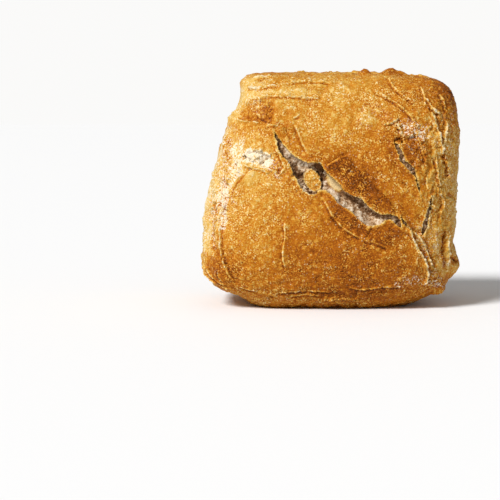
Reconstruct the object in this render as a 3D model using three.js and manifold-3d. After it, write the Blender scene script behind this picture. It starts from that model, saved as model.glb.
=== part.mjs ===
// A rustic square bread roll, baked in one piece, standing on a small flat spot of its crust.
// Millimetres, +Z up. X runs across the roll, and -Y is the torn front crust.
// The origin is under the middle of the roll's box, on the surface that the roll stands on.
import * as THREE from "three";
import { mergeVertices } from "three/addons/utils/BufferGeometryUtils.js";
import Module from "manifold-3d";

// The dough's block
const width = 91.6; // across the widest part, low down
const topWidth = 75.5; // across the top, where the block is narrower
const topOffset = 7.5; // the top sits this far to the right of the base
const straight = 18; // height of the lower part, which neither narrows nor leans
const height = 80.8; // from the flat spot to the top crust
const depth = 66; // from the front crust to the back crust, low down
const topDepth = 54; // the same at the top
const flattened = 1.7; // how much of the rounded underside the flat spot takes away

// How square the block is: 2 is round, and a larger number is squarer
const corners = { upperLeft: 14, upperRight: 7, lowerLeft: 4.3, lowerRight: 3.5 };
const faceBulge = 3.1;
const narrowing = 1.5; // 1 narrows evenly on the way up, and a larger number narrows late
const leaning = 1.2; // the same for the lean to the right

// The belly and the tears are drawn on a face of this size, and are stretched with the roll
const drawnWidth = 91.6;
const drawnHeight = 80.8;

// Swellings of the crust: a place on the roll, how far it spreads and how far it stands out
const hornInset = 4; // from the widest place in to the two horns of the right-hand edge
const swellings = [
  { at: [width / 2 - hornInset, -14, 15], reach: 7, rise: 3.4 }, // upper horn of the lower right corner
  { at: [width / 2 - 2 * hornInset, -20, 8], reach: 5, rise: 2.6 }, // lower horn of that corner
  { at: [19, -12, height], reach: 6, rise: 1.3 }, // knob on the top edge
  { at: [-2, -33, (36 * height) / drawnHeight], reach: 30, rise: 1.5 }, // the belly of the front
];

// Tears in the front crust, each a run of [x, z] places across the drawn face
const mainTear = {
  path: [[-19.5, 60.5], [-16, 53.5], [-11, 48], [-5, 44.5], [1, 40.5], [7, 35.5], [14, 32], [22.5, 28.5]],
  opening: 7,
  deep: 5,
};
const sideTear = {
  path: [[21, 57], [23, 51.5], [27, 47.5], [29, 40.5]],
  opening: 2.6,
  deep: 2.4,
};
const edgeTear = {
  path: [[33.5, 35], [32, 30.5], [31, 26.5]],
  opening: 3.2,
  deep: 2.6,
};

// How finely the faces are divided, along X, Y and Z
const facets = [28, 20, 26];
const tearSteps = 18;
const lipClearance = 1.5; // how far a tear's cutter starts outside the crust

const bottom = -flattened;
const middle = (height + bottom) / 2;
const halfHeight = (height - bottom) / 2;
const tearScale = Math.min(width / drawnWidth, height / drawnHeight);

const wasm = await Module();
wasm.setup();

// The share of the way up from the straight part to the top.
const upShare = (z) => THREE.MathUtils.clamp((z - straight) / (height - straight), 0, 1);

const centreAt = (z) => topOffset * upShare(z) ** leaning;
const halfWidthAt = (z) => THREE.MathUtils.lerp(width, topWidth, upShare(z) ** narrowing) / 2;
const halfDepthAt = (z) => THREE.MathUtils.lerp(depth, topDepth, upShare(z) ** narrowing) / 2;

// How far out a direction's outline lies across the face, seen from the front.
function outline(x, z) {
  const side = x < 0 ? "Left" : "Right";
  const corner = corners[(z < 0 ? "lower" : "upper") + side];
  return (Math.abs(x) ** corner + Math.abs(z) ** corner) ** (1 / corner);
}

// Takes a point on the unit cube out to the block's rounded surface.
function roundedPoint(point) {
  const reach = (outline(point.x, point.z) ** faceBulge + Math.abs(point.y) ** faceBulge) ** (1 / faceBulge);
  const unit = point.clone().divideScalar(reach);
  const z = middle + unit.z * halfHeight;
  return new THREE.Vector3(centreAt(z) + unit.x * halfWidthAt(z), unit.y * halfDepthAt(z), z);
}

// Where the front crust lies behind a place on the face, before any swelling.
function frontCrust(x, z) {
  const across = (x - centreAt(z)) / halfWidthAt(z);
  const up = (z - middle) / halfHeight;
  const inside = Math.max(0, 1 - outline(across, up) ** faceBulge);
  return -halfDepthAt(z) * inside ** (1 / faceBulge);
}

// Pushes a point of the crust away from the roll's middle where it lies near a swelling.
function swell(point, { at, reach, rise }) {
  const place = new THREE.Vector3(...at);
  const away = place.clone().sub(new THREE.Vector3(0, 0, middle)).normalize();
  const nearness = Math.exp(-point.distanceToSquared(place) / (reach * reach));
  point.addScaledVector(away, rise * nearness);
}

// A closed three.js mesh as a manifold-3d solid.
function solidFrom(geometry) {
  geometry.deleteAttribute("normal");
  geometry.deleteAttribute("uv");
  const merged = mergeVertices(geometry, 1e-4);
  return new wasm.Manifold(
    new wasm.Mesh({
      numProp: 3,
      vertProperties: new Float32Array(merged.attributes.position.array),
      triVerts: new Uint32Array(merged.index.array),
    }),
  );
}

// A manifold-3d solid as three.js geometry.
function geometryFrom(solid) {
  const mesh = solid.getMesh();
  const geometry = new THREE.BufferGeometry();
  geometry.setAttribute("position", new THREE.BufferAttribute(mesh.vertProperties, mesh.numProp));
  geometry.setIndex(new THREE.BufferAttribute(mesh.triVerts, 1));
  geometry.computeVertexNormals();
  return geometry;
}

function doughBlock() {
  const geometry = new THREE.BoxGeometry(2, 2, 2, ...facets);
  const positions = geometry.attributes.position;
  for (let i = 0; i < positions.count; i++) {
    const point = roundedPoint(new THREE.Vector3().fromBufferAttribute(positions, i));
    swellings.forEach((swelling) => swell(point, swelling));
    positions.setXYZ(i, point.x, point.y, point.z);
  }
  return solidFrom(geometry);
}

// A slab that takes away whatever lies under the flat spot.
function slabBelow() {
  const slabDepth = 10;
  const slab = new THREE.BoxGeometry(2 * width, 2 * depth, slabDepth);
  slab.translate(0, 0, -slabDepth / 2);
  return solidFrom(slab);
}

// A canoe-shaped cutter: two lips just outside the crust and a keel inside it, pointed at both ends.
function tearCutter({ path, opening, deep }) {
  const places = path.map(([x, z]) => new THREE.Vector2((x * width) / drawnWidth, (z * height) / drawnHeight));
  const curve = new THREE.SplineCurve(places);
  const place = (across, inward) => [across.x, frontCrust(across.x, across.y) + inward, across.y];
  const corners = [place(curve.getPoint(0), -lipClearance)];
  for (let step = 1; step < tearSteps; step++) {
    const along = step / tearSteps;
    const fullness = Math.sqrt(Math.sin(Math.PI * along));
    const point = curve.getPoint(along);
    const direction = curve.getTangent(along);
    const side = new THREE.Vector2(-direction.y, direction.x).multiplyScalar((opening / 2) * tearScale * fullness);
    corners.push(place(point.clone().add(side), -lipClearance));
    corners.push(place(point.clone().sub(side), -lipClearance));
    corners.push(place(point, deep * tearScale * fullness));
  }
  corners.push(place(curve.getPoint(1), -lipClearance));

  const last = corners.length - 1;
  const faces = [];
  for (let edge = 0; edge < 3; edge++) {
    const next = (edge + 1) % 3;
    faces.push(0, 1 + next, 1 + edge);
    for (let ring = 1; ring + 3 < last; ring += 3) {
      faces.push(ring + edge, ring + next, ring + 3 + edge);
      faces.push(ring + next, ring + 3 + next, ring + 3 + edge);
    }
    faces.push(last, last - 3 + edge, last - 3 + next);
  }
  const geometry = new THREE.BufferGeometry();
  geometry.setAttribute("position", new THREE.Float32BufferAttribute(corners.flat(), 3));
  geometry.setIndex(faces);
  return solidFrom(geometry);
}

function breadRoll() {
  let solid = doughBlock().subtract(slabBelow());
  for (const tear of [mainTear, sideTear, edgeTear]) {
    solid = solid.subtract(tearCutter(tear));
  }
  const crust = new THREE.MeshStandardMaterial({ color: 0xc98b3e, roughness: 0.75, metalness: 0 });
  const mesh = new THREE.Mesh(geometryFrom(solid), crust);
  mesh.name = "bread_roll";

  // The middle of the roll's box stands over the origin.
  const { min, max } = solid.boundingBox();
  mesh.position.set(-(min[0] + max[0]) / 2, -(min[1] + max[1]) / 2, 0);
  return mesh;
}

const roll = new THREE.Group();
roll.add(breadRoll());

export default roll;
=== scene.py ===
import math

import bpy
import numpy as np
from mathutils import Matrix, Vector, noise


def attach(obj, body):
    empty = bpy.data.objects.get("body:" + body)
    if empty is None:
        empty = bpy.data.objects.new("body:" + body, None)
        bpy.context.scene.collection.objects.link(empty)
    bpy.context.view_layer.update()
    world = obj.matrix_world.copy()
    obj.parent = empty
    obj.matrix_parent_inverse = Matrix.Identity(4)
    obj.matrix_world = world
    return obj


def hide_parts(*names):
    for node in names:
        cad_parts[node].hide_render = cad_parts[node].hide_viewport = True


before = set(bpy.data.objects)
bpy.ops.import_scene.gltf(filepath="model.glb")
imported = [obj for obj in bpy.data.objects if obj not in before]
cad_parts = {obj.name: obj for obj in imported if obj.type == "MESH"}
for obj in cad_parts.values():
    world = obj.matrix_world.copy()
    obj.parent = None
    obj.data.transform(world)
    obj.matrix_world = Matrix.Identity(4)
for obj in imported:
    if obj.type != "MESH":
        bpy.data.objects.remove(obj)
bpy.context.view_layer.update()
mm = 0.001


def smoothStep(low, high, x):
    t = np.clip((x - low) / (high - low), 0, 1)
    return t * t * (3 - 2 * t)


def mix(a, b, share):
    return a + (b - a) * share


def hump(distance, width):
    return np.exp(-((distance / width) ** 2))


def readPoints(obj):
    points = np.zeros(len(obj.data.vertices) * 3)
    obj.data.vertices.foreach_get("co", points)
    return points.reshape(-1, 3)


def writePoints(obj, points):
    obj.data.vertices.foreach_set("co", np.ascontiguousarray(points).ravel())
    obj.data.update()


def readNormals(obj):
    normals = np.zeros(len(obj.data.vertices) * 3)
    obj.data.vertex_normals.foreach_get("vector", normals)
    return normals.reshape(-1, 3)


def readCentres(obj):
    centres = np.zeros(len(obj.data.polygons) * 3)
    obj.data.polygons.foreach_get("center", centres)
    return centres.reshape(-1, 3)


def subdivideFaces(obj, chosen, cuts=1):
    # splits only the chosen faces
    mesh = obj.data
    bpy.context.tool_settings.mesh_select_mode = (False, False, True)
    mesh.vertices.foreach_set("select", np.zeros(len(mesh.vertices), bool))
    mesh.edges.foreach_set("select", np.zeros(len(mesh.edges), bool))
    mesh.polygons.foreach_set("select", chosen)
    bpy.ops.object.mode_set(mode="EDIT")
    bpy.ops.mesh.subdivide(number_cuts=cuts)
    bpy.ops.object.mode_set(mode="OBJECT")


def noiseAt(points, size, octaves=3, shift=0.0):
    # fractal noise of about -1 to 1 whose lumps are that many millimetres across
    offset = Vector((shift, shift * 0.37, -shift * 0.71))
    return np.array([noise.fractal(Vector(p) + offset, 1.0, 2.0, octaves) for p in points / size])


def smoothPath(places, perSpan=8, closed=False):
    # a Catmull-Rom run through the places
    p = np.array(places, float)
    around = np.vstack([p[-1], p, p[:2]]) if closed else np.vstack([2 * p[0] - p[1], p, 2 * p[-1] - p[-2]])
    t = np.linspace(0, 1, perSpan, endpoint=False)[:, None]
    spans = []
    for a, b, c, d in zip(around, around[1:], around[2:], around[3:]):
        spans.append(b + 0.5 * t * (c - a + t * (2 * a - 5 * b + 4 * c - d + t * (3 * (b - c) + d - a))))
    return np.vstack([*spans, around[-2:-1]])


def nearestOn(flat, path, margin=8.0):
    # distance to the run, share along it, which side (1 is its left) and the way from it
    steps = np.diff(path, axis=0)
    spans = np.hypot(*steps.T)
    runs = np.concatenate([[0], np.cumsum(spans)])
    near = np.flatnonzero(((flat > path.min(0) - margin) & (flat < path.max(0) + margin)).all(1))
    spots = flat[near]
    best = np.full(len(near), 1e3)
    along, side, away = np.zeros(len(near)), np.zeros(len(near)), np.zeros((len(near), 2))
    for start, step, span, run in zip(path, steps, spans, runs):
        offset = spots - start
        share = np.clip(offset @ step / span**2, 0, 1)
        gap = offset - share[:, None] * step
        distance = np.hypot(*gap.T)
        closer = distance < best
        best[closer] = distance[closer]
        along[closer] = (run + share[closer] * span) / runs[-1]
        side[closer] = np.sign(step[0] * offset[closer, 1] - step[1] * offset[closer, 0])
        away[closer] = gap[closer]
    found = []
    for values, rest in ((best, 1e3), (along, 0), (side, 0), (away, 0)):
        whole = np.full((len(flat), *values.shape[1:]), float(rest))
        whole[near] = values
        found.append(whole)
    return found


def tearOutline(upper, lower):
    return np.vstack([smoothPath(upper), smoothPath(lower)[-2:0:-1]])


def insideOf(flat, outline):
    inside = np.zeros(len(flat), bool)
    for (ax, ay), (bx, by) in zip(outline, np.roll(outline, -1, axis=0)):
        if ay != by:
            crosses = (ay > flat[:, 1]) != (by > flat[:, 1])
            inside ^= crosses & (flat[:, 0] < ax + (flat[:, 1] - ay) * (bx - ax) / (by - ay))
    return inside


# what each view sees: its axes across and up, and the way the crust faces there
views = {
    "front": ((0, 2), (0, -1, 0)),
    "back": ((0, 2), (0, 1, 0)),
    "left": ((1, 2), (-1, 0, 0)),
    "right": ((1, 2), (1, 0, 0)),
    "top": ((0, 1), (0, 0, 1)),
}

# the block of dough in millimetres, before its crust is shaped; the big tear is on its -Y side
block = {
    "width": 91.6,
    "topWidth": 75.5,
    "topOffset": 7.5,
    "straight": 18.0,  # the sides narrow above this height
    "height": 80.8,
    "depth": 66.0,
    "topDepth": 54.0,
    "flattened": 1.7,  # cut off below, where the roll stands
    "upperLeft": 14.0,  # a higher power makes a squarer corner or side
    "upperRight": 7.0,
    "lowerLeft": 4.3,
    "lowerRight": 3.5,
    "frontBulge": 3.9,
    "backBulge": 3.1,
    "narrowing": 1.5,
    "leaning": 1.2,
    "cuts": 58,
    "frontShare": -0.45,  # the cube's faces in front of here are split once more
    "fineReaches": (0.75, 0.25),  # then those this near to a stroke, in two rounds
}


def roundedBlock(cube):
    # takes points on the unit cube out to the rounded block
    x, y, z = cube.T
    upper = np.where(x < 0, block["upperLeft"], block["upperRight"])
    lower = np.where(x < 0, block["lowerLeft"], block["lowerRight"])
    corner = np.where(z < 0, lower, upper)
    outline = (np.abs(x) ** corner + np.abs(z) ** corner) ** (1 / corner)
    bulge = np.where(y < 0, block["frontBulge"], block["backBulge"])
    reach = (outline ** bulge + np.abs(y) ** bulge) ** (1 / bulge)
    unit = cube / reach[:, None]
    bottom = -block["flattened"]
    height = (block["height"] + bottom) / 2 + unit[:, 2] * (block["height"] - bottom) / 2
    up = np.clip((height - block["straight"]) / (block["height"] - block["straight"]), 0, 1)
    halfWidth = mix(block["width"], block["topWidth"], up ** block["narrowing"]) / 2
    halfDepth = mix(block["depth"], block["topDepth"], up ** block["narrowing"]) / 2
    centre = block["topOffset"] * up ** block["leaning"]
    return np.stack([centre + unit[:, 0] * halfWidth, unit[:, 1] * halfDepth, height], 1)


# the crust in millimetres; strokes are places across and up, in the front view unless another is given
crustForm = {
    "waver": 0.2,  # how far strokes and edges wander
    "lineWaver": 0.1,
    "taper": 0.12,  # the share of a line over which each end fades
    "lumps": {"size": 17, "rise": 0.5, "small": 0.25},  # soft unevenness all over
    # how a tear opens: the width at which it is full, the least and most of its depth, its ragged edge, and
    # the painted shade that darkens its narrow parts: the widths over which it fades, and how much
    "opening": {"full": 6.5, "least": 0.25, "most": 0.88, "ragged": 0.22, "edge": 0.45,
                "narrow": (1.2, 3), "paintedShade": 1.05},
    # the lip beside a tear: how much, and how far out it is felt
    "lip": {"rise": (0.4, 1.1), "pale": (0.85, 0.4), "toast": (0.3, 3),
            "over": (0.35, 0.6), "under": (0.55, 0.9)},
    # each tear runs between an upper and a lower lip
    "tears": {
        "big": {
            "upper": [(-20.3, 61.5), (-16.3, 55.8), (-12.2, 52), (-8.6, 50.4), (-6.6, 50.2), (-4.4, 50.1),
                      (-3, 48.2), (-2, 46.7), (-0.2, 45.3), (1.9, 43.3), (3.4, 41.2), (6.1, 39.4),
                      (9.5, 38.2), (11.9, 35.5), (15.6, 33.3), (18.9, 33.2), (21.3, 32.3), (22.3, 30.2),
                      (22.9, 28)],
            "lower": [(-20.3, 61.5), (-18.6, 54.6), (-15.3, 50.1), (-14.2, 48), (-13.9, 46.2),
                      (-12.8, 44.9), (-11.4, 42), (-8.8, 39.9), (-6.2, 39.4), (-4.2, 40.9), (-1.2, 39.5),
                      (1.1, 36.7), (5.5, 33.8), (8.2, 31.1), (11.5, 29), (14.9, 29.2), (17.6, 30.9),
                      (19.3, 30.8), (20.8, 29.3), (22.9, 28)],
            "deep": 4.8,
            "deepest": (0.85, 0.2),
        },
        "side": {
            "upper": [(20, 57.2), (21.7, 56.4), (22.5, 54.9), (23.6, 52.8), (24.6, 50.6), (26.9, 48.6),
                      (27.8, 46.8), (28.5, 43.6), (29.2, 41), (29.3, 38.4)],
            "lower": [(20, 57.2), (20.6, 54.8), (21.4, 53), (21.8, 51), (23.6, 48.8), (25.2, 47.3),
                      (27, 45.4), (27.6, 43), (28.5, 40.6), (29.3, 38.4)],
            "deep": 2.6,
            "deepest": (0.4, 0.5),
        },
        "edge": {
            "upper": [(33.1, 39.2), (33.7, 36.4), (33.2, 34), (32.4, 31.4), (31.8, 28.6), (29.6, 24.8)],
            "lower": [(33.1, 39.2), (32.4, 36.4), (31.3, 34), (30.3, 31), (29.5, 28), (29.6, 24.8)],
            "deep": 2.6,
            "deepest": (0.5, 0.4),
        },
        "slit": {
            "upper": [(22.4, 32.4), (24.3, 30.3), (25.7, 27.6)],
            "lower": [(22.4, 32.4), (23.3, 29.6), (25.7, 27.6)],
            "deep": 2.0,
            "deepest": (0.5, 0.5),
        },
    },
    # the loose disc of crust that bridges the big tear
    "disc": {"at": (-7.1, 44.4), "wide": 2.9, "tall": 3.8, "lean": 0.22, "sunk": 0.35, "dome": 0.3},
    # the gap at its lower right, sunk and darkened with painted shade, and its rim, whose places are shares
    # of its radius
    "discRing": {"out": 1.14, "width": 0.12, "sunk": 0.7, "paintedShade": 0.8},
    "discRim": {"out": 0.95, "width": 0.06, "rise": 0.3, "pale": 0.8},
    # the film of dough behind it
    "film": {"outline": [(-2.4, 46.6), (0.2, 44.6), (2.9, 41.9), (2.1, 40.9), (0.2, 41.4), (-1.6, 43.4)],
             "sunk": 1.7, "edge": 0.3},
    # threads and creases: lift raises a thread, step raises the left of the run over its right and lays a
    # painted shadow along the bottom of the step, and a groove can be given painted shade along its bottom
    "lines": [
        {"path": [(-12.9, 62.8), (-11, 57.8), (-8.3, 52.5)], "lift": 0.35, "step": 0.9, "reach": 3,
         "pale": 0.8},
        {"path": [(-3.9, 39.2), (-2.2, 35.8), (-0.2, 32.1), (2.5, 29.1), (5.7, 26.8), (10.2, 24.3)],
         "lift": 0.45},
        {"path": [(8.6, 25), (11.4, 24.1), (14.8, 23.2), (18.8, 21.4)], "lift": 0.15, "step": 0.15,
         "pale": 0.45},
        {"path": [(12.6, 29), (11.6, 27.6), (10.6, 25.2)], "lift": 0.1, "step": -0.4, "width": 0.26,
         "pale": 0.2},
        {"path": [(-16.2, 31), (-16.4, 29.6), (-16.2, 26), (-16.9, 21.8), (-16.9, 18), (-15.5, 13.2)],
         "lift": 0.5},
        {"path": [(-38.2, 31), (-37.8, 28.5), (-37.7, 23.6), (-37.6, 20.5), (-37, 17.6), (-35.9, 14.7),
                  (-34.5, 11.8), (-33.2, 9.8)], "lift": 0.7, "step": -0.15, "pale": 0.85, "beads": 0.15},
        {"path": [(-34, 36), (-33.6, 38.4), (-32.6, 41.5), (-30.1, 44.7), (-27.5, 47.3), (-24, 48)],
         "lift": 0.15, "step": -0.8, "reach": 3, "pale": 0.35},
        {"path": [(-2.6, 48.9), (0.7, 51), (4.3, 52.8)], "lift": 0.1, "step": -1.1, "width": 0.24,
         "reach": 2.4, "pale": 0.6},
        {"path": [(-26.8, 78.4), (-24.2, 79.1), (-20.6, 79.6)], "lift": 0.6, "step": 0.5},
        {"path": [(-30, 76.2), (-27.5, 75.5), (-24.9, 75.5), (-21.6, 75.9), (-18.6, 75.8)], "lift": 0.5,
         "step": 0.45},
        {"path": [(-30.4, 71.4), (-26.2, 72.1), (-21, 72.4), (-17.1, 72.3), (-13.9, 72.2), (-9.5, 71.9),
                  (-4, 71.2)], "lift": 0.2, "reach": 3, "pale": 0.6},
        {"path": [(-33.4, 65.3), (-31, 64.3), (-28.7, 64), (-26.8, 64), (-25, 63.2)], "lift": 0.5,
         "step": -0.6},
        {"path": [(-16, 76.6), (-8, 77.4), (0, 76.8)], "lift": 0.2, "pale": 0.5},
        {"path": [(-19.6, 55.4), (-18.4, 53), (-17.2, 50.6), (-16.4, 48.8), (-17.4, 47), (-18.8, 45.4)],
         "lift": 0.35, "step": 0.5, "pale": 0.8},
        # the forked crease by the right edge
        {"path": [(33, 68), (34.4, 64.2), (35.6, 60.4), (36.6, 56.6), (37.2, 52.8)], "lift": 1.0,
         "step": -0.4, "width": 0.55, "pale": 1.2, "beads": 0},
        {"path": [(37.3, 53.4), (38, 51), (39.2, 47.8), (39.8, 44.6)], "lift": -0.9, "step": 0.6,
         "pale": 0.2, "grooveShade": 1.1},
        {"path": [(39, 64.4), (38.6, 60.8), (37.8, 57.4), (37.2, 53.4)], "lift": 0.8, "width": 0.45,
         "pale": 1.2, "beads": 0},
        {"path": [(34.4, 40), (36.4, 39.4), (38.2, 36.6), (37.4, 33.8), (35.2, 33.4)], "lift": 0.5,
         "step": 0.4, "pale": 0.8},
        {"path": [(28.2, 58.6), (29.6, 54), (31, 49.6)], "lift": 0.3, "pale": 0.6},
        # the twisted folds at the lower right, and the groove by the horn
        {"path": [(23.6, 30.8), (25.4, 28.2), (26.3, 25), (28.2, 21.5), (30.1, 18.8), (31.2, 16.1),
                  (31.9, 12.8), (31.7, 10.2), (30.7, 9.2), (29, 9.6)], "lift": 1.2, "step": -0.4,
         "width": 0.5, "pale": 1.4, "beads": 0.15},
        {"path": [(25.8, 28.4), (28, 25.9), (29.8, 23.7), (31.5, 20.5), (32.9, 17), (34.2, 13.6)],
         "lift": 1.2, "step": -0.6, "width": 0.5, "pale": 1.4, "beads": 0.15},
        {"path": [(25, 27.6), (27.2, 24), (29.4, 20.8)], "step": 0.2, "pale": 0.8},
        {"path": [(29.6, 26), (30.6, 23.4), (32.4, 20.6), (33.4, 18)], "lift": 0.5, "step": 0.4,
         "pale": 0.7},
        {"path": [(38.8, 28), (38.9, 25.4), (38.6, 22.7), (38.2, 19.2), (38.7, 16), (39.3, 12.8)],
         "lift": -1.6, "step": 0.2, "width": 0.5, "pale": 0, "grooveShade": 1.3},
        {"path": [(40.6, 27.4), (40.6, 24.6), (39.8, 21.9), (39.9, 18.9), (39.4, 15.6), (39.6, 12.4)],
         "lift": 1.0, "step": 0, "width": 0.5, "pale": 1.1, "beads": 0.5},
        {"path": [(40.6, 18), (41.4, 17.2), (42.4, 15.8)], "lift": -0.9, "step": 0.2, "width": 0.5,
         "pale": 0, "grooveShade": 1.5},
        # small marks on the upper half and down the right
        {"path": [(14, 74.2), (19, 71.5), (24.5, 67.2), (28, 62.8)], "lift": 0.3, "step": 0.5, "reach": 3,
         "pale": 0.6},
        {"path": [(-13.6, 65), (-12.4, 65.6), (-11.2, 66.4)], "step": 0.2, "width": 0.36, "pale": 1.1},
        {"path": [(-16.4, 62.4), (-14.6, 60), (-13.8, 57.4)], "lift": -0.3, "step": 0.5, "pale": 0.3,
         "grooveShade": 0.5},
        {"path": [(-22.6, 62.4), (-20.6, 62.8), (-18.2, 62)], "pale": 0.8},
        {"path": [(-29.6, 53.6), (-26.4, 54.4), (-23.2, 53.2), (-20.4, 52.8)], "lift": 0.6, "step": 0.4},
        {"path": [(-30.4, 49.6), (-27.4, 48.4), (-24.4, 47.8), (-21.4, 46.4)], "lift": 0.5, "step": 0.4,
         "pale": 0.9},
        {"path": [(19.4, 79.6), (20.2, 76.4), (23.2, 73), (27, 70.4)], "lift": 0.3, "step": 0.4,
         "pale": 0.6},
        {"path": [(33, 69.4), (34.4, 67.6), (36.4, 66.4)], "lift": 0.6, "step": 0.5, "width": 0.5},
        {"path": [(31.4, 71.8), (32.8, 69.6), (33.4, 67.4)], "step": 0.4},
        {"path": [(30, 75.8), (31, 72.6), (31.2, 69.4)], "lift": 0.3, "pale": 0.8},
        {"path": [(36.2, 73.6), (38, 70.8), (38.6, 67.6)], "step": 0.4, "pale": 0.8},
        {"path": [(20.2, 57.2), (21.2, 58.1), (22.5, 58.1), (23.2, 56.4)], "lift": -0.9, "pale": 0,
         "grooveShade": 1.3},
        {"path": [(21.4, 63.4), (22.4, 60.8), (23.4, 58.4), (23.8, 56)], "lift": 0.5, "step": 0.4,
         "pale": 0.9},
        {"path": [(16.6, 62.8), (19.6, 63.4), (22, 65.2)], "step": 0.4, "pale": 0.9},
        {"path": [(22.4, 59.6), (24.8, 58.8), (27.4, 59.4)], "lift": 0.3},
        {"path": [(34.4, 51.6), (35, 48), (35.6, 44.6), (36.6, 41.6)], "lift": 0.5, "pale": 0.9},
        {"path": [(32, 47.6), (31.4, 44), (32, 41)], "lift": 0.3, "pale": 0.7},
        # folds round the lower left corner and along the bottom
        {"path": [(-44.6, 15), (-43.8, 11.6), (-41.5, 9.6), (-39.2, 8.4), (-36.6, 7.2), (-33.4, 6.4)],
         "lift": 0.8, "step": 0.2},
        {"path": [(-43.4, 14.4), (-41.6, 11.6), (-40, 10.2), (-38.4, 9.2), (-35.6, 8.4)], "lift": 0.5,
         "step": 0.15},
        {"path": [(-38.6, 13.8), (-38.2, 11.4), (-36.8, 9.4)], "pale": 0.7},
        {"path": [(-31.4, 7.8), (-28.4, 7), (-25.4, 6.6)], "step": 0.4},
        {"path": [(-22, 4.6), (-18.2, 6.2), (-14.1, 6.7), (-7.7, 7.1), (0, 6.6)], "lift": 0.3, "step": 0.1,
         "pale": 0.8},
        {"path": [(4, 8.8), (10, 7.6), (17, 8.3), (24, 8.2)], "lift": 0.25, "step": 0.1, "pale": 0.7},
        {"path": [(-4, 3.4), (2, 4.4), (9, 4)], "lift": 0.2, "step": 0.1, "pale": 0.6},
        {"path": [(-15, 5), (-9, 5.8), (-4, 5.2)], "lift": 0.2, "step": 0.1, "pale": 0.7},
        # in the floury scar, and down the left edge
        {"path": [(-30.6, 52.9), (-29.2, 51.8), (-27.6, 51.2)], "lift": -1.3, "step": 0.4, "width": 0.36,
         "pale": 0, "grooveShade": 1.5},
        {"path": [(-24.9, 49.8), (-23.6, 50.3), (-22, 51.8)], "lift": -1.3, "step": -0.4, "width": 0.36,
         "pale": 0, "grooveShade": 1.5},
        {"path": [(-28, 50.6), (-26, 51.6), (-23.4, 53)], "lift": 0.5, "pale": 1.1},
        {"path": [(-33.4, 51.6), (-32.4, 49.2), (-31.8, 46.4), (-32.8, 43.8)], "lift": 0.5, "pale": 1},
        {"path": [(-35.2, 41.8), (-35.4, 38), (-35.8, 34.2), (-36, 30.6)], "lift": 0.7, "width": 0.4,
         "pale": 1.1},
        {"path": [(-38.2, 44), (-37.4, 41), (-37.2, 37.2), (-37.4, 33.4)], "lift": 0.5, "pale": 1},
        {"path": [(-40.4, 36.6), (-40.2, 33.6), (-40.6, 30.6)], "lift": -0.8, "pale": 0, "grooveShade": 1},
        {"path": [(-40.6, 46), (-40, 42.6), (-40.4, 39.4)], "lift": 0.6, "step": 0.4, "pale": 0.7},
    ],
    # soft creases round the other sides: where they lie, how many, how long, and which way they run
    "crease": {"lift": 0.25, "step": 0.8, "width": 0.8, "reach": 4, "pale": 0.4},
    "topFrom": 60,  # the top's creases keep above this height
    "creases": [
        {"view": "right", "low": (-24, 12), "high": (24, 70), "number": 15, "length": 22, "heading": 1.45},
        {"view": "left", "low": (-26, 12), "high": (24, 64), "number": 17, "length": 24, "heading": 1.6},
        {"view": "top", "low": (-24, -18), "high": (32, 20), "number": 14, "length": 20, "heading": 0.1},
        {"view": "back", "low": (-34, 10), "high": (34, 70), "number": 12, "length": 16, "heading": 0.4},
    ],
    # areas that are lifted or sunk and coloured
    "patches": [
        # the floury scar left of the big tear, and the skin round it
        {"outline": [(-31, 53.8), (-28.1, 54.9), (-24.6, 54.2), (-21.4, 53.4), (-20.6, 50.6), (-22.6, 48.6),
                     (-26.2, 49.3), (-29.4, 50.5)], "lift": -0.6, "edge": 1.3, "flour": 1.1, "pale": 0.5,
         "rough": 1.2},
        {"outline": [(-33.8, 57), (-30, 56.4), (-30.6, 47.4), (-33, 44), (-34.8, 41.6), (-36.4, 45),
                     (-35.8, 51)], "lift": -0.5, "edge": 1.4, "flour": 0.75, "pale": 0.4, "rough": 0.8},
        {"outline": [(-36.6, 58), (-34.6, 58), (-34.4, 50), (-35, 44), (-36.8, 44), (-37, 50)], "lift": 0.5,
         "edge": 1, "toast": 0.5, "rough": 1},
        {"outline": [(-22, 53), (-19.3, 52), (-17.3, 48.5), (-17.4, 45.2), (-20.6, 45.6), (-22.2, 48)],
         "lift": -0.2, "edge": 1.2, "toast": 0.55, "flour": 0.36, "rough": 1},
        {"outline": [(-19.4, 57), (-16.6, 53.8), (-14.6, 49.6), (-16, 48.6), (-18.2, 51.4), (-19.8, 54)],
         "lift": 0.5, "edge": 0.7, "toast": 0.5},
        # the brown patch below the upper left corner, and the pale band over it
        {"outline": [(-31.7, 69.1), (-28.7, 70.8), (-24.9, 70.9), (-20.8, 70.3), (-19.9, 66.6),
                     (-20.8, 63.6), (-23.3, 63), (-26.2, 64.6), (-29.4, 64.8), (-32.2, 65.9)], "lift": -1.2,
         "edge": 0.8, "toast": 0.85, "rough": 0.9},
        {"outline": [(-22.6, 69.6), (-20.8, 69.4), (-20.8, 64), (-22.4, 64)], "lift": -0.6, "edge": 0.9,
         "toast": 1.25, "rough": 0.8},
        {"outline": [(-33, 74.6), (-26.3, 75), (-13.8, 74.6), (-6, 74), (-6, 72.8), (-14.2, 72.6),
                     (-21.3, 72.8), (-31, 72.2)], "lift": 0.1, "edge": 0.8, "pale": 0.35},
        # round the big tear: the hollow above the disc, sunk and darkened with painted shade, and toasted
        # crust
        {"outline": [(-6.8, 49.4), (-4.6, 50.4), (-3.4, 48.8), (-3.4, 47.2), (-4.6, 47.8)], "lift": -1.4,
         "edge": 0.4, "deep": 1.3},
        {"outline": [(-13.9, 48.6), (-12.7, 46.8), (-13.9, 45.3)], "lift": -1.2, "edge": 0.4, "toast": 1},
        {"outline": [(-28.5, 48.8), (-21, 48.4), (-18, 44.5), (-22, 42.5), (-28, 43.5), (-31, 46)],
         "edge": 1.8, "pale": 0.12},
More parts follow.
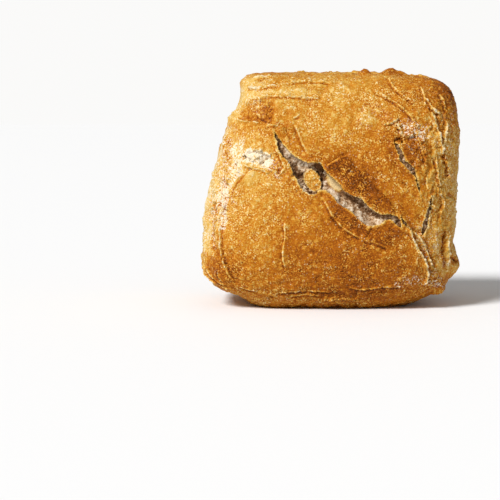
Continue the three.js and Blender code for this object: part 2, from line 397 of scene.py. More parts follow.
        {"outline": [(-2.6, 49), (0.9, 51), (4.3, 52.6), (8, 48), (12, 44.4), (16.4, 40.4), (20, 36),
                     (19.8, 33.6), (17, 34.4), (12.8, 36), (9.8, 38.8), (6, 40.6), (2, 44.4), (-1, 47)],
         "lift": 0.5, "edge": 0.5, "toast": 0.78},
        {"outline": [(8, 50), (16, 45), (21, 38), (22, 34), (19.4, 33.6), (15, 41), (8, 47)], "edge": 2.5,
         "toast": 0.3},
        {"outline": [(-2.8, 40.2), (3.8, 35.4), (8.8, 31.4), (11.1, 29), (13, 27), (20, 29.4), (24, 26),
                     (16, 22.4), (9, 25.8), (3.7, 29), (-0.2, 33.6)], "lift": 0.2, "edge": 1.2,
         "toast": 0.5},
        # by the side tear and the upper middle
        {"outline": [(18.6, 63.4), (24, 64.4), (31.5, 63), (33, 58.6), (28, 57.4), (23.6, 58.6)],
         "lift": -0.2, "edge": 2, "flour": 0.5, "rough": 0.8},
        {"outline": [(23.6, 57.6), (31, 57.6), (31.4, 52), (26.6, 51)], "lift": 0.4, "edge": 2,
         "toast": 0.5, "flour": 0.2, "rough": 0.6},
        {"outline": [(8.4, 66), (11.8, 66.8), (14.6, 65), (13.6, 63), (9.6, 63)], "lift": 0.6, "edge": 0.6,
         "pale": 0.35, "flour": 0.3},
        {"outline": [(8, 68), (15, 70), (19, 66), (16, 61), (9, 61)], "edge": 2, "flour": 0.25,
         "rough": 0.5},
        {"outline": [(22, 11), (31, 13), (32, 9), (22, 8)], "edge": 2, "flour": 0.4, "toast": 0.1},
        # the left edge
        {"outline": [(-39.4, 43), (-35.4, 43), (-35.2, 36), (-35.6, 28.4), (-38.3, 28), (-39.4, 35.7)],
         "lift": -0.7, "edge": 0.9, "flour": 0.72, "rough": 1.3},
        {"outline": [(-44.8, 30), (-41, 28), (-40.6, 20), (-43, 18.6), (-45.4, 22)], "lift": 0.3,
         "edge": 2.4, "pale": 0.5},
        {"outline": [(-42, 62), (-38.6, 60), (-37, 48), (-39, 40), (-43.6, 34), (-45, 50)], "edge": 2,
         "pale": 0.25, "rough": 0.6},
        {"outline": [(-35.4, 67.6), (-33.6, 66.6), (-33.8, 62.6), (-35.8, 62.4)], "lift": 0.7, "edge": 0.7,
         "toast": 0.3},
        # the right edge and the twisted folds
        {"outline": [(29, 70), (44, 72), (44, 30), (36, 24), (30, 32), (31, 50)], "edge": 3, "flour": 0.12,
         "rough": 0.6},
        {"outline": [(26.6, 27), (28.6, 26.6), (33, 19), (34.2, 13.4), (32.2, 12.6), (30.6, 18.6)],
         "lift": -0.4, "edge": 0.6, "pale": 0.3},
        {"outline": [(25, 28), (30, 30), (36, 28), (41, 14), (35, 11), (31.6, 15), (28.6, 21)], "edge": 1.6,
         "rough": 0.4, "flour": 0.26, "pale": 0.3},
        {"outline": [(31.8, 13.4), (36, 13), (37.6, 8.6), (33, 7.6)], "lift": 0.5, "edge": 1, "rough": 1,
         "flour": 0.4, "toast": 0.3},
    ],
    # floury and pale areas of the other sides
    "sidePatches": [
        {"view": "left", "outline": [(-26, 58), (-8, 64), (6, 52), (4, 30), (-10, 18), (-26, 22)],
         "lift": -0.3, "edge": 4, "flour": 0.4, "pale": 0.15, "rough": 0.6},
        {"view": "left", "outline": [(-26, 78), (-8, 79), (-6, 68), (-24, 64)], "edge": 2.5, "pale": 0.3,
         "flour": 0.2},
        {"view": "left", "outline": [(8, 60), (20, 54), (18, 30), (8, 26)], "lift": 0.3, "edge": 4,
         "flour": 0.35, "pale": 0.2},
        {"view": "left", "outline": [(-20, 50), (-13, 52), (-9, 38), (-14, 24), (-20, 30)], "lift": 0.5,
         "edge": 2, "toast": 0.3, "rough": 0.8},
        {"view": "right", "outline": [(-24, 66), (-10, 70), (-4, 52), (-8, 34), (-20, 28), (-26, 44)],
         "lift": -0.2, "edge": 3, "flour": 0.25, "pale": 0.1, "rough": 0.5},
        {"view": "right", "outline": [(2, 60), (18, 62), (22, 40), (12, 18), (0, 26)], "lift": 0.3,
         "edge": 5, "flour": 0.3, "pale": 0.15},
        {"view": "back", "outline": [(-30, 66), (0, 72), (32, 64), (36, 20), (10, 8), (-34, 14)],
         "lift": -0.4, "edge": 5, "flour": 0.28, "rough": 0.25},
        {"view": "back", "outline": [(-14, 46), (6, 52), (18, 40), (8, 26), (-12, 28)], "lift": -0.8,
         "edge": 5, "toast": 0.5},
        {"view": "top", "outline": [(-18, 4), (4, 10), (26, 6), (30, 18), (4, 22), (-18, 18)], "lift": 0.3,
         "edge": 4, "flour": 0.35, "rough": 0.3},
    ],
    # soft lumps and hollows
    "swellings": [
        # the two horns of the lower right corner
        {"at": (41.2, -15, 14.5), "reach": 4.2, "rise": 2.4},
        {"at": (37.0, -19, 7), "reach": 3.4, "rise": 2.2},
        # hollows and bulges of the outline
        {"at": (43.5, -6, 34), "reach": (14, 30, 14), "rise": -2.2},
        {"at": (44, -8, 22.5), "reach": (6, 26, 3.6), "rise": -1.3},
        {"at": (45, -6, 60), "reach": (12, 30, 16), "rise": -0.8},
        {"at": (-34, -8, 1), "reach": (8, 26, 7), "rise": -3.0},
        {"at": (-46, -8, 46), "reach": (10, 30, 18), "rise": -0.6},
        {"at": (-46, -8, 22), "reach": (8, 26, 10), "rise": -1.4},
        # knobs on the top edge
        {"at": (20.6, -9, 81), "reach": 2.8, "rise": 2.4},
        {"at": (24.6, -9, 80.5), "reach": 2.2, "rise": 1.4},
        {"at": (12, -10, 81), "reach": 1.2, "rise": 3.0},
        {"at": (10.2, -10, 81), "reach": 1.1, "rise": 1.4},
        # the front's belly, and more of the outline
        {"at": (-2, -33, 36), "reach": 30, "rise": 1.5},
        {"at": (-33, -8, 80), "reach": 4.4, "rise": 3.0},
        {"at": (-45.9, -12, 31), "reach": (2.5, 6, 1.3), "rise": 1.2},
        {"at": (-36, -10, 65.2), "reach": (2.5, 8, 1.8), "rise": 1.1},
        {"at": (39, -4, 79), "reach": (10, 26, 9), "rise": -0.6},
        {"at": (27, -4, 82), "reach": (9, 26, 6), "rise": -0.7},
        {"at": (-37, 0, 70), "reach": (10, 30, 10), "rise": -1.8},
        {"at": (-35, -8, 74), "reach": (6, 26, 5), "rise": -1.0},
    ],
    # folds of skin in rows, drawn out along one axis
    "wrinkles": [
        {"at": (-45, -12, 40), "reach": (7, 26, 34), "along": 2, "size": 2.6, "rise": 1.1},
        {"at": (-38, -29, 37), "reach": (3.2, 10, 11), "along": 2, "size": 1.0, "rise": 0.7},
        {"at": (-27, -32, 52), "reach": (7, 10, 4), "along": 0, "size": 1.1, "rise": 0.8},
        {"at": (41, -14, 48), "reach": (9, 26, 30), "along": 2, "size": 2.4, "rise": 0.5},
        {"at": (33, -28, 46), "reach": (8, 14, 20), "along": 2, "size": 1.2, "rise": 0.7},
        {"at": (26, -28, 60), "reach": (9, 14, 7), "along": 0, "size": 1.0, "rise": 0.7},
        {"at": (-14, -22, 78), "reach": (26, 20, 5), "along": 0, "size": 1.8, "rise": 0.35},
        {"at": (0, -22, 4), "reach": (36, 20, 6), "along": 0, "size": 2.0, "rise": 0.7},
        {"at": (0, 12, 81), "reach": (40, 24, 8), "along": 0, "size": 3.0, "rise": 0.7},
        {"at": (33, -28, 18), "reach": (7, 12, 10), "along": 2, "size": 1.6, "rise": 0.8},
    ],
    # relief all over, laid on in turn
    "reliefs": [
        {"name": "unevenness", "kind": "CLOUDS", "size": 3.6, "height": 0.6, "noise_depth": 2},
        {"name": "blisters", "kind": "VORONOI", "size": 1.9, "height": -0.45, "weight_1": 1},
        {"name": "smallBlisters", "kind": "VORONOI", "size": 1.1, "height": -0.35, "weight_1": 1},
        {"name": "roughness", "kind": "CLOUDS", "size": 1.1, "height": 1.6, "area": "roughArea",
         "noise_depth": 3},
        {"name": "crumb", "kind": "CLOUDS", "size": 1.1, "height": 2.6, "area": "tornArea",
         "noise_depth": 3},
    ],
    # where the oven browned the crust more (above 0) or less; the broad spots low on the front darken it as
    # painted shade of the underside
    "browningAndShade": [
        {"at": (-47, -10, 40), "reach": 17, "amount": -0.34},
        {"at": (-41, -12, 63), "reach": 11, "amount": -0.3},
        {"at": (-35, -15, 76), "reach": 6, "amount": -0.22},
        {"at": (0, -26, 70), "reach": 20, "amount": -0.06},
        {"at": (-18, -33, 36), "reach": 14, "amount": -0.02},
        {"at": (-36, -24, 58), "reach": 10, "amount": 0.1},
        {"at": (20, -30, 66), "reach": 10, "amount": 0.06},
        {"at": (-30, -30, 20), "reach": 12, "amount": -0.05},
        {"at": (-28, -30, 50), "reach": 14, "amount": -0.16},
        {"at": (-26, -26, 76), "reach": 10, "amount": -0.12},
        {"at": (5, -24, 80), "reach": 16, "amount": -0.1},
        {"at": (46, 6, 40), "reach": 20, "amount": -0.2},
        {"at": (8, 34, 40), "reach": 30, "amount": -0.05},
        {"at": (-47, 14, 36), "reach": 18, "amount": -0.2},
        {"at": (8, 26, 78), "reach": 12, "amount": 0.15},
        {"at": (-20, 30, 8), "reach": 16, "amount": 0.12},
        # painted shade: darker low on the front, where its underside turns from the light
        {"at": (5, -32, 12), "reach": 26, "amount": 0.12},
        {"at": (-39, -26, 12), "reach": 9, "amount": 0.18},
        {"at": (26, -32, 14), "reach": 16, "amount": 0.06},
        {"at": (14, -32, 54), "reach": 12, "amount": 0.08},
        {"at": (38, -20, 72), "reach": 10, "amount": 0.12},
        {"at": (45, -15, 30), "reach": 18, "amount": -0.17},
        {"at": (34, -28, 30), "reach": 12, "amount": -0.06},
        {"at": (38, -24, 52), "reach": 12, "amount": -0.08},
        # painted shade: darker at the bottom of the front
        {"at": (0, -20, 0), "reach": 22, "amount": 0.08},
        {"at": (12, -10, 83), "reach": 3, "amount": 0.4},
        {"at": (21, -10, 83), "reach": 4, "amount": 0.25},
        {"at": (41, -12, 76), "reach": 8, "amount": 0.24},
        {"at": (30, -30, 52), "reach": 7, "amount": 0.1},
    ],
}


class Crust:
    # the crust while it is sculpted: where it is, which way it faces, how far it is lifted, and its paint;
    # torn shows the crumb, deep paints shade over it where it lies in hollows, smooth is skin without
    # blisters, and the toasted paint carries painted shade along grooves as well as toasting
    paints = ("torn", "deep", "pale", "toast", "flour", "rough", "smooth")

    def __init__(self, points, normals):
        self.points, self.normals = points, normals
        self.lift = np.zeros(len(points))
        self.shift = np.zeros((len(points), 3))
        self.paint = {name: np.zeros(len(points)) for name in self.paints}
        self.bake = np.zeros(len(points))
        self.wobble = noiseAt(points, 2.4, 2, 3.0)
        self.ragged = noiseAt(points, 0.9, 2, 7.0)

    def seenFrom(self, view):
        axes, way = views[view]
        facing = smoothStep(0.0, 0.15, self.normals @ np.array(way, float))
        flat = self.points[:, axes]
        return flat + crustForm["waver"] * np.stack([self.wobble, -self.wobble], 1), facing

    def brush(self, name, weight, amount):
        self.paint[name] = np.maximum(self.paint[name], weight * amount)

    def swell(self, at, reach, rise):
        self.lift += rise * hump(np.linalg.norm((self.points - np.array(at)) / np.array(reach), axis=1), 1)

    def brownAndShade(self, at, reach, amount):
        self.bake += amount * hump(np.linalg.norm(self.points - np.array(at, float), axis=1), reach)

    def wrinkle(self, at, reach, along, size, rise):
        weight = hump(np.linalg.norm((self.points - np.array(at)) / np.array(reach), axis=1), 1)
        near = np.flatnonzero(weight > 0.04)
        stretch = np.array([size] * 3)
        stretch[along] *= 5
        bent = self.points[near] + 1.2 * self.wobble[near, None]
        ridge = (1 - np.abs(noiseAt(bent / stretch, 1, 2, at[0]))) ** 5
        self.lift[near] += rise * weight[near] * (ridge - 0.3)
        paler = 0.7 * rise * weight[near] * ridge ** 2
        self.paint["pale"][near] = np.maximum(self.paint["pale"][near], paler)

    def line(self, path, lift=0.4, step=0.3, width=0.32, reach=2.2, pale=1.0, beads=0.5, grooveShade=0.0,
             view="front"):
        flat, facing = self.seenFrom(view)
        astray = self.ragged - self.wobble
        flat = flat + crustForm["lineWaver"] * np.stack([astray, -astray], 1)
        distance, along, side, _ = nearestOn(flat, smoothPath(path))
        taper = crustForm["taper"]
        fade = smoothStep(0, taper, along) * smoothStep(0, taper, 1 - along) * facing
        across = distance * side
        thread = hump(across, width) * fade * (1 - beads * (0.3 - self.ragged))
        ledge = smoothStep(-width, width, across) - 0.5
        self.lift += lift * thread + step * ledge * np.exp(-distance / reach) * fade
        # a groove is painted with shade along its bottom
        self.brush("toast", hump(across, width * 1.2) * fade, grooveShade)
        if step:
            # a thin groove runs along the bottom of the step, with painted shadow in it
            below = hump(across + np.sign(step) * width * 1.9, width) * fade
            self.lift -= 0.35 * abs(step) * below
            self.brush("toast", below, 0.9)
        beading = 1 - beads * (0.2 - 1.8 * self.ragged)
        self.brush("pale", hump(across, width * 0.65) * fade * beading, pale)

    def patch(self, outline, edge, lift=0.0, view="front", **paint):
        flat, facing = self.seenFrom(view)
        path = smoothPath(outline, closed=True)
        distance = nearestOn(flat, path)[0]
        inside = np.where(insideOf(flat, path), distance, -distance) + edge * 0.8 * self.wobble
        cover = smoothStep(-edge, edge, inside) * facing
        self.lift += lift * cover
        for name, amount in paint.items():
            self.brush(name, cover, amount)

    def tear(self, upper, lower, deep, deepest, view="front"):
        opening, lip = crustForm["opening"], crustForm["lip"]
        flat, facing = self.seenFrom(view)
        flat = flat + opening["ragged"] * np.stack([self.ragged, self.ragged[::-1]], 1)
        upperGap, along, _, upperAway = nearestOn(flat, smoothPath(upper))
        lowerGap, _, _, lowerAway = nearestOn(flat, smoothPath(lower))
        inside = insideOf(flat, tearOutline(upper, lower)) & (facing > 0.5)
        gap = np.minimum(upperGap, lowerGap)
        wide = upperGap + lowerGap
        across = upperGap / np.maximum(wide, 1e-6)
        keel = mix(deepest[0], deepest[1], smoothStep(0.2, 0.45, along))
        slope = np.where(across < keel, across / keel, (1 - across) / (1 - keel))
        depth = deep * np.clip(wide / opening["full"], opening["least"], opening["most"])
        depth = depth * (0.3 + 0.7 * slope + 0.25 * self.wobble)
        self.lift -= np.where(inside, depth * smoothStep(0, opening["edge"], gap), 0)
        self.brush("torn", np.where(inside, smoothStep(0.05, 0.4, gap), 0), 1)
        # painted shade: the crumb darkens along the deepest line of the tear and where it narrows
        self.brush("deep", np.where(inside, slope ** 1.5 * smoothStep(0.5, 2.5, wide), 0), 1)
        self.brush("deep", np.where(inside, 1 - smoothStep(*opening["narrow"], wide), 0), opening["paintedShade"])

        # the lip stands a little proud and leans over the tear
        away = np.where((upperGap < lowerGap)[:, None], upperAway, lowerAway)
        away /= np.maximum(np.hypot(*away.T), 1e-6)[:, None]
        outside = ~inside & (facing > 0.3)
        rise, pale, toast, over, under = (amount * hump(gap, reach) for amount, reach in lip.values())
        self.lift += np.where(outside, rise, 0)
        self.brush("pale", np.where(outside, pale, 0), 1)
        self.brush("toast", np.where(outside, toast, 0), 1)
        lean = np.where(outside, over, 0) + np.where(inside, smoothStep(0.1, 0.5, gap) * under, 0)
        for k, axis in enumerate(views[view][0]):
            self.shift[:, axis] -= away[:, k] * lean

    def stretchFilm(self, outline, sunk, edge):
        # a smooth pale film of dough inside a tear
        flat, facing = self.seenFrom("front")
        path = smoothPath(outline, closed=True)
        distance = nearestOn(flat, path)[0]
        cover = smoothStep(-edge, edge, np.where(insideOf(flat, path), distance, -distance)) * facing
        self.lift = mix(self.lift, -sunk, cover)
        self.paint["torn"] *= 1 - cover
        self.brush("pale", cover, 0.85)
        self.brush("smooth", cover, 1)

    def bridge(self, at, wide, tall, lean, sunk, dome):
        # a loose disc of crust that leans over the tear
        gap, edge = crustForm["discRing"], crustForm["discRim"]
        flat, facing = self.seenFrom("front")
        across, up = (flat - at).T
        out = np.hypot((across + lean * up) / wide, up / tall) + 0.1 * self.ragged
        cover = (1 - smoothStep(0.9, 1.05, out)) * facing
        below = smoothStep(-2.5, 1, across - 0.4 * up)
        # the gap round the disc's lower right is sunk and darkened with painted shade
        ring = hump(out - gap["out"], gap["width"]) * facing * below * (self.paint["torn"] > 0.2)
        self.lift -= gap["sunk"] * ring
        self.brush("deep", ring, gap["paintedShade"])
        self.lift = mix(self.lift, dome * (1 - out ** 2) - sunk, cover)
        self.shift *= (1 - cover)[:, None]
        self.paint["torn"] *= 1 - cover
        rim = hump(out - edge["out"], edge["width"]) * facing
        self.bake -= 0.12 * cover
        self.brush("pale", rim, edge["pale"])
        self.lift += edge["rise"] * rim * cover


def relieve(obj, name, kind, size, height, area="crustArea", **settings):
    # one layer of relief over an area, as a Displace modifier that is applied
    texture = bpy.data.textures.new(name, kind)
    texture.noise_scale = size * mm
    for key, value in settings.items():
        setattr(texture, key, value)
    relief = obj.modifiers.new(name, "DISPLACE")
    relief.texture = texture
    relief.texture_coords = "LOCAL"
    relief.strength = height * mm
    relief.mid_level = 0.5
    relief.vertex_group = area
    bpy.ops.object.modifier_apply(modifier=name)


def addGroup(obj, name, weights):
    levels = 20
    group = obj.vertex_groups.new(name=name)
    for level in range(1, levels + 1):
        chosen = np.flatnonzero(np.round(weights * levels) == level)
        group.add(chosen.tolist(), level / levels, "REPLACE")


def creasePaths(low, high, number, length, heading, **other):
    # wandering paths in a box, the same ones each time
    chance = np.random.default_rng(number * 7 + int(length))
    for _ in range(number):
        turns = heading + np.cumsum(chance.normal(0, 0.28, 6))
        steps = length * chance.uniform(0.35, 1) / 6 * np.stack([np.cos(turns), np.sin(turns)], 1)
        path = np.cumsum(steps, 0)
        yield chance.uniform(low, high) + path - path.mean(0)


def nearStrokes(centres, reach, sides):
    # faces by the tears, threads and creases, which are sharp
    flat = centres[:, (0, 2)]
    close = np.zeros(len(centres), bool)
    for tear in crustForm["tears"].values():
        close |= nearestOn(flat, tearOutline(tear["upper"], tear["lower"]))[0] < reach
    for line in crustForm["lines"]:
        close |= nearestOn(flat, smoothPath(line["path"]))[0] < reach
    close |= np.linalg.norm(flat - crustForm["disc"]["at"], axis=1) < 1.1 * crustForm["disc"]["tall"]
    close &= centres[:, 1] < 0
    for row in crustForm["creases"] if sides else ():
        axes, way = views[row["view"]]
        faces = centres @ np.array(way) > (crustForm["topFrom"] if row["view"] == "top" else 0)
        for path in creasePaths(**row):
            close |= (nearestOn(centres[:, axes], smoothPath(path))[0] < reach) & faces
    return close


def bakeRoll():
    bpy.ops.object.select_all(action="DESELECT")
    bpy.ops.mesh.primitive_cube_add(size=2)
    dough = bpy.context.active_object
    dough.name = "rollCrust"
    bpy.ops.object.mode_set(mode="EDIT")
    bpy.ops.mesh.subdivide(number_cuts=block["cuts"])
    bpy.ops.object.mode_set(mode="OBJECT")
    subdivideFaces(dough, readCentres(dough)[:, 1] < block["frontShare"])
    shape = roundedBlock(readPoints(dough))
    shape[:, :2] -= (shape.min(0) + shape.max(0))[:2] / 2
    writePoints(dough, shape)
    for level, reach in enumerate(block["fineReaches"]):
        subdivideFaces(dough, nearStrokes(readCentres(dough), reach, sides=level == 0))
    print("roll: block of", len(dough.data.polygons), "faces")

    crust = Crust(readPoints(dough), readNormals(dough))
    for swelling in crustForm["swellings"]:
        crust.swell(**swelling)
    lumps = crustForm["lumps"]
    crust.lift += lumps["rise"] * noiseAt(crust.points, lumps["size"], 2, 11.0)
    crust.lift += lumps["small"] * crust.wobble
    for wrinkle in crustForm["wrinkles"]:
        crust.wrinkle(**wrinkle)
    for patch in crustForm["patches"] + crustForm["sidePatches"]:
        crust.patch(**patch)
    for row in crustForm["creases"]:
        for path in creasePaths(**row):
            crust.line(path, view=row["view"], **crustForm["crease"])
    for line in crustForm["lines"]:
        crust.line(**line)
    for tear in crustForm["tears"].values():
        crust.tear(**tear)
    crust.stretchFilm(**crustForm["film"])
    crust.bridge(**crustForm["disc"])
    for spot in crustForm["browningAndShade"]:
        crust.brownAndShade(**spot)
    print("roll: sculpted")

    shaped = crust.points + crust.normals * crust.lift[:, None] + crust.shift
    writePoints(dough, shaped * mm)
    torn = crust.paint["torn"]
    addGroup(dough, "crustArea", (1 - torn) * (1 - crust.paint["smooth"]))
    addGroup(dough, "tornArea", torn)
    addGroup(dough, "roughArea", crust.paint["rough"] * (1 - torn))
    before = readPoints(dough)
    for layer in crustForm["reliefs"]:
        relieve(dough, **layer)
    after = readPoints(dough)
    relief = ((after - before) / mm * crust.normals).sum(1)
    after[:, 2] = np.maximum(after[:, 2], 0)
    writePoints(dough, after)

    for name, values in (*crust.paint.items(), ("bake", crust.bake), ("relief", relief)):
        layer = dough.data.attributes.new(name, "FLOAT", "POINT")
        layer.data.foreach_set("value", values.astype(np.float32))
    bpy.ops.object.shade_smooth()
    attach(dough, "root")
    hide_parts("bread_roll")
    print("roll: finished with", sum(len(face.vertices) - 2 for face in dough.data.polygons), "triangles")
    return dough


class Wire:
    # a socket of a material, so that shader maths reads as an expression
    def __init__(self, finish, socket):
        self.finish = finish
        self.socket = socket

    def maths(self, operation, *values):
        return self.finish.add("ShaderNodeMath", {"operation": operation}, values)

    def __add__(self, other):
        return self.maths("ADD", self, other)

    def __sub__(self, other):
        return self.maths("SUBTRACT", self, other)

    def __rsub__(self, other):
        return self.maths("SUBTRACT", other, self)

    def __mul__(self, other):
        return self.maths("MULTIPLY", self, other)

    __radd__ = __add__
    __rmul__ = __mul__


class Finish:
    # a material under construction
    def __init__(self, name):
        self.material = bpy.data.materials.new(name)
        self.material.use_nodes = True
        self.tree = self.material.node_tree
        self.tree.nodes.clear()

    def add(self, kind, settings=None, sockets=(), output=0):
        node = self.tree.nodes.new(kind)
        for name, value in (settings or {}).items():
            if name == "stops":
                while len(node.color_ramp.elements) < len(value):
                    node.color_ramp.elements.new(1)
                for element, (place, colour) in zip(node.color_ramp.elements, value):
                    element.position = place
                    element.color = (*colour, 1)
            else:
                setattr(node, name, value)
        for key, value in sockets.items() if isinstance(sockets, dict) else enumerate(sockets):
            if isinstance(value, Wire):
                self.tree.links.new(value.socket, node.inputs[key])
            else:
                node.inputs[key].default_value = value
        return Wire(self, node.outputs[output]) if node.outputs else None

    def step(self, low, high, value):
        return self.add("ShaderNodeMapRange", {"interpolation_type": "SMOOTHSTEP"},
                        {"Value": value, "From Min": low, "From Max": high})

    def blend(self, share, first, second):
        return self.add("ShaderNodeMix", {"data_type": "RGBA"}, {0: share, 6: first, 7: second}, output=2)


crustLook = {
    "stops": [
        (0.0, (0.69, 0.57, 0.38)),
        (0.2, (0.64, 0.45, 0.16)),
        (0.4, (0.56, 0.325, 0.062)),
        (0.55, (0.48, 0.195, 0.015)),
        (0.7, (0.37, 0.108, 0.005)),
        (0.85, (0.235, 0.06, 0.004)),
        (1.0, (0.09, 0.022, 0.002)),
    ],
    "flour": (0.75, 0.66, 0.51, 1),
    "glint": (0.70, 0.54, 0.30, 1),
    # the crumb's dark end is painted shade, for its pores and hollows
    "crumb": [(0.0, (0.15, 0.068, 0.026)), (0.4, (0.40, 0.245, 0.125)), (1.0, (0.68, 0.57, 0.43))],
    "bake": 0.515,
    # round marks: how far apart in millimetres, their small and large sizes there, and the share that
    # shows; the pins are pale dots painted in as glints
    "dots": {
        "blisters": (1.9, 0.2, 0.5, 0.5),
        "grains": (0.8, 0.15, 0.55, 0.7),
        "glintPins": (0.95, 0.08, 0.34, 0.45),
        "smallGlintPins": (0.57, 0.1, 0.4, 0.3),
        "pits": (3.4, 0.05, 0.12, 0.4),
    },
    # soft marks: how far across in millimetres, how detailed and how harsh
    "clouds": {
        "broad": (12.0, 2.0, 0.5),
        "busy": (4.5, 2.0, 0.5),
        "medium": (2.2, 2.0, 0.5),
        "fine": (0.4, 0.5, 0.5),
        "specks": (0.5, 0.5, 0.5),
        "largeSpecks": (0.9, 2.0, 0.5),
        "glintAreas": (2.6, 2.0, 0.5),
        "roughAreas": (0.9, 2.0, 0.5),
        "roughSkin": (0.7, 3.0, 0.5),
        "flakes": (0.6, 2.0, 0.65),
        "flakeAreas": (3.0, 2.0, 0.5),
        "pores": (0.9, 4.0, 0.7),
    },
    # how much each mark browns the crust, or pales it below 0; relief adds painted shade in hollows and
    # painted light on raised points, and the pale blisters are partly painted highlight
    "brownsAndShade": {
        "all": 0.16, "broad": 0.24, "medium": 0.24, "fine": 0.62, "specks": -0.3, "blisters": -0.19,
        "grains": -0.1, "pits": 0.3, "relief": -0.2, "toast": 0.28, "pale": -0.5, "rough": 1.3,
    },
    # how high each mark stands in the bump
    "heights": {"blisters": 0.6, "grains": 0.35, "glintPins": 0.3, "fine": 0.5, "rough": 1.3},
    "bump": (0.6, 0.25),  # its strength, and its depth in millimetres
    "shine": 0.06,
}


def crustFinish():
    look, brownsAndShade, heights = crustLook, crustLook["brownsAndShade"], crustLook["heights"]
    finish = Finish("crust")
    place = finish.add("ShaderNodeTexCoord", output="Object")
    torn, deep, pale, toast, flour, rough, smooth, bakedAndShaded, relief = (
        finish.add("ShaderNodeAttribute", {"attribute_name": name}, output="Fac")
        for name in (*Crust.paints, "bake", "relief"))

    def cloud(name):
        size, detail, harshness = look["clouds"][name]
        return finish.add("ShaderNodeTexNoise", {}, {
            "Vector": place, "Scale": 1 / (size * mm), "Detail": detail, "Roughness": harshness}) - 0.5

    def dots(name):
        # round dots, one to a cell, of which only a share is kept
        size, small, large, share = look["dots"][name]
        cell = {"Vector": place, "Scale": 1 / (size * mm)}
        distance = finish.add("ShaderNodeTexVoronoi", {"feature": "F1"}, cell)
        chance = finish.add("ShaderNodeTexVoronoi", {"feature": "F1"}, cell, output="Color")
        lottery = finish.add("ShaderNodeSeparateColor", {}, [chance])
        return (1 - finish.step(small, large, distance)) * finish.step(1 - share, 1.2 - share, lottery)

    blisters, grains = dots("blisters"), dots("grains")
    glintPins = dots("glintPins") + dots("smallGlintPins") * 0.6
    fine = cloud("fine")
    specks = finish.step(0.07, 0.15, cloud("specks")) + finish.step(0.09, 0.19, cloud("largeSpecks")) * 0.5

    # how brown each spot of the crust is, from floury at 0 to nearly burnt at 1, with painted shade and
    # light laid in with the browning
    busy = 0.45 + finish.step(-0.16, 0.2, cloud("busy")) * 0.9
    mottle = cloud("broad") * brownsAndShade["broad"] + cloud("medium") * brownsAndShade["medium"] + brownsAndShade["all"]
    mottle = mottle + (fine * brownsAndShade["fine"] + specks * brownsAndShade["specks"]) * busy
    # the blisters are paler, partly for their thin crust and partly as painted highlight
    mottle = mottle + blisters * brownsAndShade["blisters"] + grains * brownsAndShade["grains"]
    mottle = mottle + dots("pits") * brownsAndShade["pits"]
    # relief darkens hollows and lightens raised points: painted shade and light
    bake = look["bake"] + bakedAndShaded + mottle * (1 - smooth) + relief * brownsAndShade["relief"]
    # the toasted paint browns the crust and also lays painted shade along grooves and steps
    bake = bake + toast * brownsAndShade["toast"] + pale * brownsAndShade["pale"]
    bake = bake + rough * cloud("roughAreas") * brownsAndShade["rough"]
    crust = finish.add("ShaderNodeValToRGB", {"stops": look["stops"]}, [bake])
    # painted glints: pale pins laid over the crust colour in patches
    crust = finish.blend(glintPins * finish.step(-0.12, 0.12, cloud("glintAreas")) * 0.85, crust, look["glint"])

    # flour lies in flakes where it was brushed, and the tears show the crumb, with painted shade in its
    # pores, its low relief and its deep places
    dust = cloud("flakes") * 1.2 + cloud("flakeAreas") * 0.5 + flour * 0.36 - 0.24
    dust = finish.step(-0.04, 0.08, dust) * finish.step(0.05, 0.4, flour) * 0.9
    crust = finish.blend(dust, crust, look["flour"])
    pores = finish.step(-0.2, 0.16, cloud("pores") + relief * 0.2 - deep * 0.25 + 0.06)
    crumb = finish.add("ShaderNodeValToRGB", {"stops": look["crumb"]}, [pores])
    colour = finish.blend(torn, crust, crumb)

    roughness = 0.5 + fine * 0.3 + dust * 0.35 + torn * 0.35
    height = blisters * heights["blisters"] + grains * heights["grains"] + glintPins * heights["glintPins"]
    height = height + fine * heights["fine"] + rough * cloud("roughSkin") * heights["rough"]
    strength, reach = look["bump"]
    bump = finish.add("ShaderNodeBump", {}, {
        "Strength": strength, "Distance": reach * mm, "Height": height})
    shader = finish.add("ShaderNodeBsdfPrincipled", {}, {
        "Base Color": colour, "Roughness": roughness, "Normal": bump, "Specular IOR Level": look["shine"]})
    finish.add("ShaderNodeOutputMaterial", {}, {"Surface": shader})
    print("crust: finish ready")
    return finish.material


def plainFinish(name, colour, roughness):
    finish = Finish(name)
    shader = finish.add("ShaderNodeBsdfPrincipled", {}, {
        "Base Color": (*colour, 1), "Roughness": roughness})
    finish.add("ShaderNodeOutputMaterial", {}, {"Surface": shader})
    return finish.material


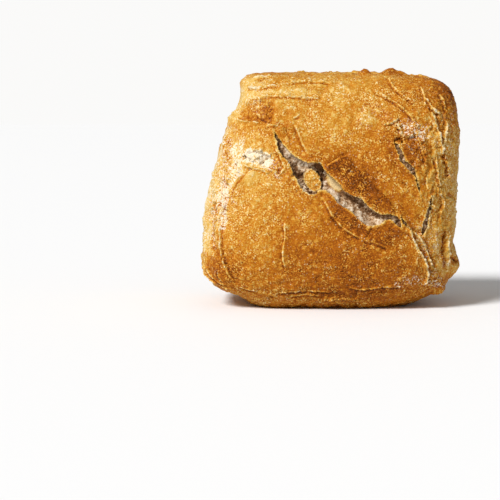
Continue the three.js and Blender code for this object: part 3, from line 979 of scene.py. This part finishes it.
studio = {
    "floorRadius": 12,
    "floorColour": (0.86, 0.86, 0.86),
    "sky": (1.0, 0.995, 0.985),
    "skyStrength": 0.35,
    "backdropStrength": 0.96,
    "keyStrength": 3.9,
    "keyHeight": 42,
    "keyTurn": -42,
    "keySoftness": 18,
}
camera = {"lens": 110, "distance": 0.545, "elevation": 5, "aim": (-28 * mm, 0, 18.2 * mm)}


def buildStudio():
    bpy.ops.mesh.primitive_circle_add(vertices=96, radius=studio["floorRadius"], fill_type="NGON")
    floor = bpy.context.active_object
    floor.name = "floor"
    floor.data.materials.append(plainFinish("paleFloor", studio["floorColour"], 0.8))

    # the sky lights softly, and is seen as a white backdrop
    world = bpy.data.worlds.new("studio")
    world.use_nodes = True
    bpy.context.scene.world = world
    tree = world.node_tree
    background = tree.nodes["Background"]
    background.inputs["Color"].default_value = (*studio["sky"], 1)
    seen = tree.nodes.new("ShaderNodeLightPath")
    strength = tree.nodes.new("ShaderNodeMapRange")
    strength.inputs["To Min"].default_value = studio["skyStrength"]
    strength.inputs["To Max"].default_value = studio["backdropStrength"]
    tree.links.new(seen.outputs["Is Camera Ray"], strength.inputs["Value"])
    tree.links.new(strength.outputs["Result"], background.inputs["Strength"])

    turn = (math.radians(90 - studio["keyHeight"]), 0, math.radians(studio["keyTurn"]))
    bpy.ops.object.light_add(type="SUN", rotation=turn)
    key = bpy.context.active_object
    key.name = "keyLight"
    key.data.energy = studio["keyStrength"]
    key.data.angle = math.radians(studio["keySoftness"])
    bpy.context.scene.view_settings.view_transform = "Standard"
    print("studio: ready")


def placeCamera():
    rise = math.radians(camera["elevation"])
    back = Vector((0, -math.cos(rise), math.sin(rise)))
    place = Vector(camera["aim"]) + camera["distance"] * back
    bpy.ops.object.camera_add(location=place, rotation=(math.pi / 2 - rise, 0, 0))
    eye = bpy.context.active_object
    eye.data.lens = camera["lens"]
    eye.data.clip_start = 0.01
    bpy.context.scene.camera = eye


placeCamera()
buildStudio()
dough = bakeRoll()
dough.data.materials.append(crustFinish())
